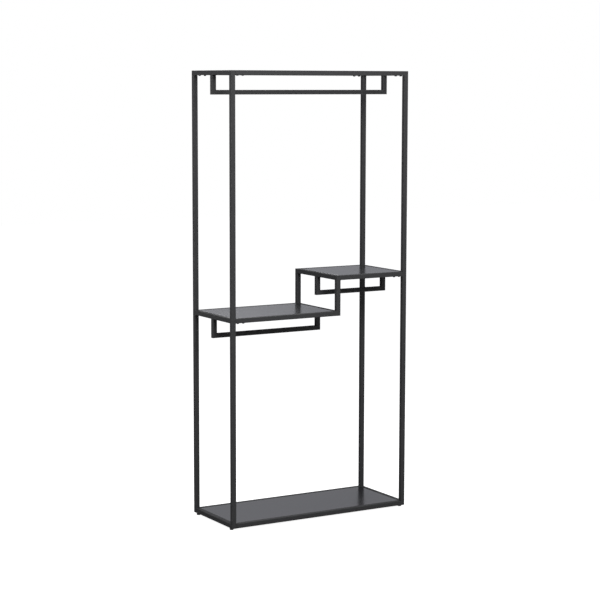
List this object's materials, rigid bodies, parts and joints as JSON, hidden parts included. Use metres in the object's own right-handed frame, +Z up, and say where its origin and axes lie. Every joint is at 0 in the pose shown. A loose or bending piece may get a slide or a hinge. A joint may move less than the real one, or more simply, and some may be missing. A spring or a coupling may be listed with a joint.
{
  "type": "free-standing clothes rack with stepped shelf",
  "caption": "Free-standing clothes rack of black square tube with a base panel, a stepped middle shelf, hanging rails and levelling feet.",
  "frame": {"origin": "centre of the footprint on the floor, under the middle of the rack", "axes": "+X along the width toward the higher shelf's end, +Y from front to back, +Z up"},
  "size_m": [0.85, 0.345, 1.8785],
  "materials": {
    "frame_coat": "fine textured matte powder coat, black",
    "panel_coat": "satin powder coat, black, with blurred reflections",
    "bolt_steel": "black oxide on steel, slightly oiled",
    "nut_steel": "zinc plated",
    "foot_plastic": "moulded matte plastic"
  },
  "bodies": {
    "rack": {"upright_front_left": "frame_coat", "upright_back_left": "frame_coat", "top_side_rail_left": "frame_coat", "shelf_end_rail_left": "frame_coat", "base_side_rail_left": "frame_coat", "upright_front_right": "frame_coat", "upright_back_right": "frame_coat", "top_side_rail_right": "frame_coat", "shelf_end_rail_right": "frame_coat", "base_side_rail_right": "frame_coat", "top_rail_front": "frame_coat", "base_rail_front": "frame_coat", "left_shelf_rail_front": "frame_coat", "right_shelf_rail_front": "frame_coat", "riser_front": "frame_coat", "top_rail_back": "frame_coat", "base_rail_back": "frame_coat", "left_shelf_rail_back": "frame_coat", "right_shelf_rail_back": "frame_coat", "riser_back": "frame_coat", "left_shelf_step_rail": "frame_coat", "right_shelf_step_rail": "frame_coat", "hanging_rail_top": "frame_coat", "hanging_rail_left": "frame_coat", "hanging_rail_right": "frame_coat", "base_panel": "panel_coat", "left_shelf_panel": "panel_coat", "right_shelf_panel": "panel_coat", "bolt_base_front_left_outer": "bolt_steel", "bolt_base_front_left_inner": "bolt_steel", "bolt_shelf_front_left_outer": "bolt_steel", "bolt_shelf_front_left_inner": "bolt_steel", "bolt_top_front_left_outer": "bolt_steel", "bolt_top_front_left_inner": "bolt_steel", "bolt_base_back_left_outer": "bolt_steel", "bolt_base_back_left_inner": "bolt_steel", "bolt_shelf_back_left_outer": "bolt_steel", "bolt_shelf_back_left_inner": "bolt_steel", "bolt_top_back_left_outer": "bolt_steel", "bolt_top_back_left_inner": "bolt_steel", "bolt_base_front_right_outer": "bolt_steel", "bolt_base_front_right_inner": "bolt_steel", "bolt_shelf_front_right_outer": "bolt_steel", "bolt_shelf_front_right_inner": "bolt_steel", "bolt_top_front_right_outer": "bolt_steel", "bolt_top_front_right_inner": "bolt_steel", "bolt_base_back_right_outer": "bolt_steel", "bolt_base_back_right_inner": "bolt_steel", "bolt_shelf_back_right_outer": "bolt_steel", "bolt_shelf_back_right_inner": "bolt_steel", "bolt_top_back_right_outer": "bolt_steel", "bolt_top_back_right_inner": "bolt_steel", "foot_nut_front_left": "nut_steel", "foot_nut_back_left": "nut_steel", "foot_nut_front_right": "nut_steel", "foot_nut_back_right": "nut_steel"},
    "foot_front_left": {"levelling_foot_front_left": "foot_plastic"},
    "foot_back_left": {"levelling_foot_back_left": "foot_plastic"},
    "foot_front_right": {"levelling_foot_front_right": "foot_plastic"},
    "foot_back_right": {"levelling_foot_back_right": "foot_plastic"}
  },
  "joints": [
    {"name": "foot_front_left_adjust", "type": "slide", "parent": "rack", "child": "foot_front_left", "axis": [0, 0, -1], "range_m": [0, 0.008]},
    {"name": "foot_back_left_adjust", "type": "slide", "parent": "rack", "child": "foot_back_left", "axis": [0, 0, -1], "range_m": [0, 0.008]},
    {"name": "foot_front_right_adjust", "type": "slide", "parent": "rack", "child": "foot_front_right", "axis": [0, 0, -1], "range_m": [0, 0.008]},
    {"name": "foot_back_right_adjust", "type": "slide", "parent": "rack", "child": "foot_back_right", "axis": [0, 0, -1], "range_m": [0, 0.008]}
  ]
}
